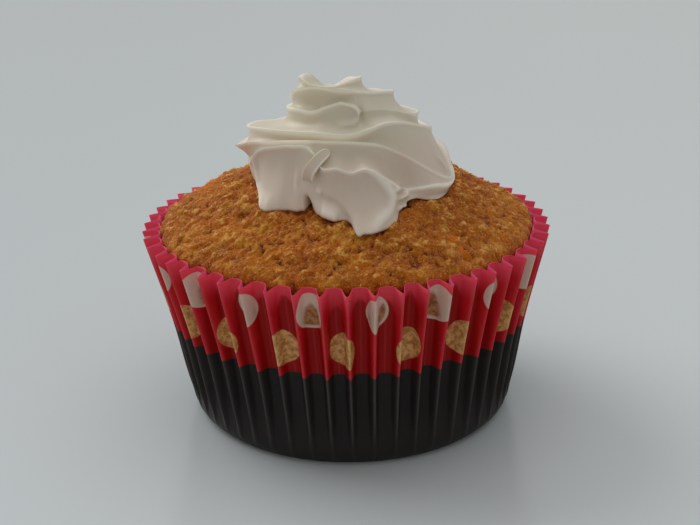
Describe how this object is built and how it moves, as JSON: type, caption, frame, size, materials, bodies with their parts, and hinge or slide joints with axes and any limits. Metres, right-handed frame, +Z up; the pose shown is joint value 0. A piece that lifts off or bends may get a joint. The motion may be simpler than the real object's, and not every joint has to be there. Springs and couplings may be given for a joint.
{
  "type": "cupcake",
  "caption": "Domed sponge cupcake in a pleated two-tone paper case with a dotted band, topped with a swirl of piped cream.",
  "frame": {"origin": "centre of the paper case's floor, on the surface it stands on", "axes": "+Z up along the case's axis; -Y is the front of the swirl, with its lobes; +X is to the right seen from the front"},
  "size_m": [0.071, 0.071, 0.0594],
  "materials": {
    "paper_case": "thin greaseproof paper, crimson with a black band below and pale dots",
    "cake": "golden brown crumb with a dull, open surface",
    "cream": "smooth, softly glossy whipped cream"
  },
  "bodies": {
    "root": {"paper_case": "paper_case", "cake": "cake", "cream": "cream"}
  },
  "joints": []
}
